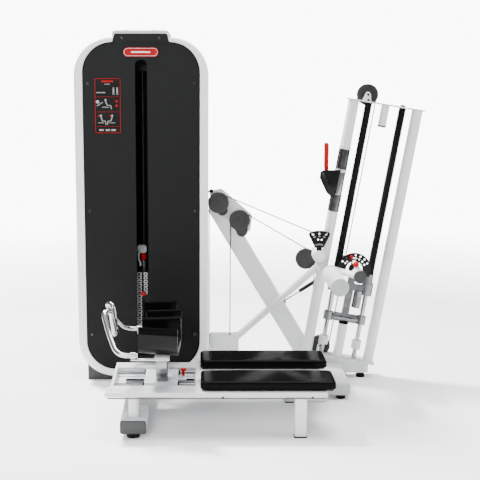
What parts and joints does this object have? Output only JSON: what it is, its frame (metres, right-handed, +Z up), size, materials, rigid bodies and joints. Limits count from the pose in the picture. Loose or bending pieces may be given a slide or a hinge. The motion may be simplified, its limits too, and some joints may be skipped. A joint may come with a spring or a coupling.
{
  "type": "cable exercise machine",
  "caption": "Cable exercise machine: boxed weight tower, low bench with long pads, sliding forearm support with handlebar, leaning guide tower with roller arm and braces.",
  "frame": {"origin": "on the floor, at the middle of the bounding box", "axes": "+Z up, -Y towards the side with the bench, +X from the weight tower to the leaning guide tower"},
  "size_m": [1.8703, 1.255, 1.9],
  "materials": {
    "white_paint": "satin powder coat",
    "shell_paint": "satin powder coat",
    "black_paint": "satin black powder coat",
    "dark_plastic": "fine-grained dark grey moulding",
    "white_plastic": "smooth white moulding",
    "weight_iron": "dark painted weight plates",
    "bare_steel": "plain turned steel and wire rope",
    "chrome": "polished chrome",
    "black_vinyl": "smooth black vinyl",
    "black_plastic": "dark moulded shell",
    "black_rubber": "matt black rubber",
    "red_plastic": "glossy red",
    "label_panel": "glossy printed panel"
  },
  "bodies": {
    "root": {"base_beams": "white_paint", "beam_end_caps": "dark_plastic", "bench_legs": "white_paint", "bench_tray": "white_paint", "brace": "white_paint", "brake_housing": "dark_plastic", "fasteners": "bare_steel", "front_cover": "dark_plastic", "front_pad": "black_vinyl", "guide_rods": "chrome", "leaning_plates": "white_paint", "load_cable": "bare_steel", "plaques": "label_panel", "pulley_brackets": "white_paint", "rear_cover": "dark_plastic", "rear_pad": "black_vinyl", "resting_plates": "weight_iron", "rod_bellows": "black_rubber", "rod_collars": "white_paint", "rubber_buffers": "black_rubber", "rubber_feet": "black_rubber", "side_hub": "white_paint", "side_sector": "black_paint", "side_tubes": "white_paint", "slide_rails": "chrome", "stack_cable": "bare_steel", "stack_frame": "black_paint", "tension_cable": "bare_steel", "tower_frame": "white_paint", "tower_plinth": "black_paint", "tower_side_shell": "shell_paint"},
    "stack": {"lifted_plates": "weight_iron", "selector_stem": "bare_steel"},
    "selector_pin": {"selector_pin": "red_plastic"},
    "support": {"support_frame": "white_paint", "rail_wipers": "black_rubber", "arm_pad_shells": "black_plastic", "front_arm_pad": "black_vinyl", "rear_arm_pad": "black_vinyl", "handlebar": "chrome"},
    "support_pin": {"support_pin": "red_plastic"},
    "carriage": {"carriage_tubes": "white_paint", "carriage_spine": "black_paint", "front_sector": "black_paint"},
    "roller_arm": {"roller_arm": "white_paint"},
    "roller": {"roller": "white_plastic"},
    "sector_pin": {"sector_pin": "red_plastic"},
    "rocker": {"rocker": "white_paint"},
    "gas_spring_tube": {"gas_spring_tube": "black_paint"},
    "gas_spring_rod": {"gas_spring_rod": "chrome"},
    "brake_lever": {"brake_lever": "red_plastic"},
    "base_pulley_left": {"base_pulley_left": "dark_plastic"},
    "base_pulley_right": {"base_pulley_right": "dark_plastic"},
    "brace_pulley": {"brace_pulley": "dark_plastic"},
    "head_pulley_left": {"head_pulley_left": "dark_plastic"},
    "head_pulley_right": {"head_pulley_right": "dark_plastic"},
    "hub_pulley": {"hub_pulley": "dark_plastic"},
    "leaning_low_pulley": {"leaning_low_pulley": "dark_plastic"},
    "leaning_top_pulley": {"leaning_top_pulley": "dark_plastic"},
    "tension_pulley": {"tension_pulley": "dark_plastic"}
  },
  "joints": [
    {"name": "stack_lift", "type": "slide", "parent": "root", "child": "stack", "axis": [0, 0, 1], "range_m": [0, 0.6], "deforming": ["stack_cable"]},
    {"name": "carriage_travel", "type": "slide", "parent": "root", "child": "carriage", "axis": [0.1633, 0, 0.9866], "range_m": [0, 0.6], "deforming": ["rod_bellows"]},
    {"name": "selector_pin_pull", "type": "slide", "parent": "stack", "child": "selector_pin", "axis": [0, -1, 0], "range_m": [0, 0.085]},
    {"name": "support_slide", "type": "slide", "parent": "root", "child": "support", "axis": [1, 0, 0], "range_m": [-0.1, 0.04]},
    {"name": "support_pin_pull", "type": "slide", "parent": "support", "child": "support_pin", "axis": [0, 0, 1], "range_m": [0, 0.014], "stiffness_N_per_m": 400, "springref_m": -0.01},
    {"name": "roller_arm_turn", "type": "hinge", "parent": "carriage", "child": "roller_arm", "pos_m": [0.575, 0, 0.6183], "axis": [0, 1, 0], "range_deg": [-20, 20]},
    {"name": "roller_spin", "type": "hinge", "parent": "roller_arm", "child": "roller", "pos_m": [0.442, 0, 0.6026], "axis": [0, 1, 0], "continuous": true},
    {"name": "sector_pin_pull", "type": "slide", "parent": "roller_arm", "child": "sector_pin", "axis": [0, -1, 0], "range_m": [0, 0.012], "stiffness_N_per_m": 400, "springref_m": -0.01},
    {"name": "rocker_turn", "type": "hinge", "parent": "root", "child": "rocker", "pos_m": [0.381, 0, 0.692], "axis": [0, 1, 0], "range_deg": [0, 15]},
    {"name": "gas_spring_swing", "type": "hinge", "parent": "rocker", "child": "gas_spring_tube", "pos_m": [0.4236, 0.516, 0.5366], "axis": [0, 1, 0], "range_deg": [-25, 5]},
    {"name": "gas_spring_stroke", "type": "slide", "parent": "gas_spring_tube", "child": "gas_spring_rod", "axis": [0.8388, 0, 0.5444], "range_m": [-0.002, 0.045]},
    {"name": "brake_lever_turn", "type": "hinge", "parent": "root", "child": "brake_lever", "pos_m": [0.414, 0, 1.108], "axis": [0, 1, 0], "range_deg": [-12, 12]},
    {"name": "base_pulley_left_spin", "type": "hinge", "parent": "root", "child": "base_pulley_left", "pos_m": [-0.327, 0.41, 0.17], "axis": [0, 1, 0], "continuous": true},
    {"name": "base_pulley_right_spin", "type": "hinge", "parent": "root", "child": "base_pulley_right", "pos_m": [-0.136, 0.41, 0.17], "axis": [0, 1, 0], "continuous": true},
    {"name": "brace_pulley_spin", "type": "hinge", "parent": "root", "child": "brace_pulley", "pos_m": [-0.051, 0.41, 0.8777], "axis": [0, 1, 0], "continuous": true},
    {"name": "head_pulley_left_spin", "type": "hinge", "parent": "root", "child": "head_pulley_left", "pos_m": [-0.53, 0.41, 1.78], "axis": [0, 1, 0], "continuous": true},
    {"name": "head_pulley_right_spin", "type": "hinge", "parent": "root", "child": "head_pulley_right", "pos_m": [-0.412, 0.41, 1.78], "axis": [0, 1, 0], "continuous": true},
    {"name": "hub_pulley_spin", "type": "hinge", "parent": "root", "child": "hub_pulley", "pos_m": [0.319, 0.41, 0.6617], "axis": [0, 1, 0], "continuous": true},
    {"name": "leaning_low_pulley_spin", "type": "hinge", "parent": "root", "child": "leaning_low_pulley", "pos_m": [0.40571, 0.41, 0.16699], "axis": [0, 1, 0], "continuous": true},
    {"name": "leaning_top_pulley_spin", "type": "hinge", "parent": "root", "child": "leaning_top_pulley", "pos_m": [0.63722, 0.41, 1.56546], "axis": [0, 1, 0], "continuous": true},
    {"name": "tension_pulley_spin", "type": "hinge", "parent": "root", "child": "tension_pulley", "pos_m": [-0.1694, 0.345, 0.984], "axis": [0, 1, 0], "continuous": true}
  ],
  "couplings": [
    {"joint": "carriage_travel", "follows": "stack_lift", "ratio": 1},
    {"joint": "gas_spring_swing", "follows": "rocker_turn", "ratio": -1.3},
    {"joint": "gas_spring_stroke", "follows": "rocker_turn", "m_per_rad": 0.142},
    {"joint": "base_pulley_left_spin", "follows": "stack_lift", "rad_per_m": -28.571},
    {"joint": "base_pulley_right_spin", "follows": "stack_lift", "rad_per_m": -28.571},
    {"joint": "brace_pulley_spin", "follows": "stack_lift", "rad_per_m": 20},
    {"joint": "head_pulley_left_spin", "follows": "stack_lift", "rad_per_m": 20},
    {"joint": "head_pulley_right_spin", "follows": "stack_lift", "rad_per_m": 20},
    {"joint": "hub_pulley_spin", "follows": "stack_lift", "rad_per_m": 20},
    {"joint": "leaning_low_pulley_spin", "follows": "stack_lift", "rad_per_m": -20},
    {"joint": "leaning_top_pulley_spin", "follows": "stack_lift", "rad_per_m": -20}
  ]
}
